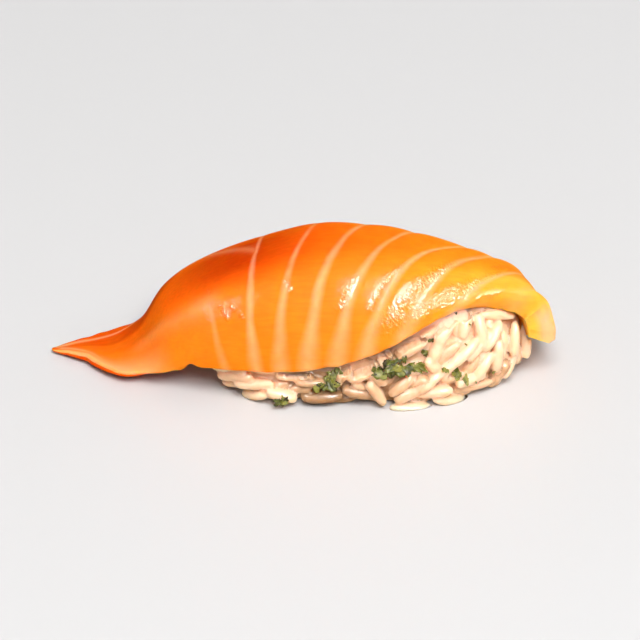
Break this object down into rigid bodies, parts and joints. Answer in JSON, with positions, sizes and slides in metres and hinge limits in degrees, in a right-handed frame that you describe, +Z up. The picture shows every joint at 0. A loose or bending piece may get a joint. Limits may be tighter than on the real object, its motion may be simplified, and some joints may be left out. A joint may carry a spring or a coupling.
{
  "type": "salmon nigiri",
  "caption": "Long slice of raw salmon draped over a hand-pressed loaf of sushi rice with chopped green leaf, its tail lying out on one side and its thick end hanging over the other.",
  "frame": {"origin": "under the middle of the whole, on the surface that it stands on", "axes": "+X along the slice from its thin tail to its hanging end, -Y the side that shows more rice, +Z up"},
  "size_m": [0.088, 0.0298, 0.0271],
  "materials": {
    "salmon_flesh": "moist and glossy raw salmon, orange with pale lines of fat",
    "cooked_rice": "moist cooked rice grains, cream white, with bits of green leaf"
  },
  "bodies": {
    "root": {"salmon_slice": "salmon_flesh", "rice_loaf": "cooked_rice"}
  },
  "joints": []
}
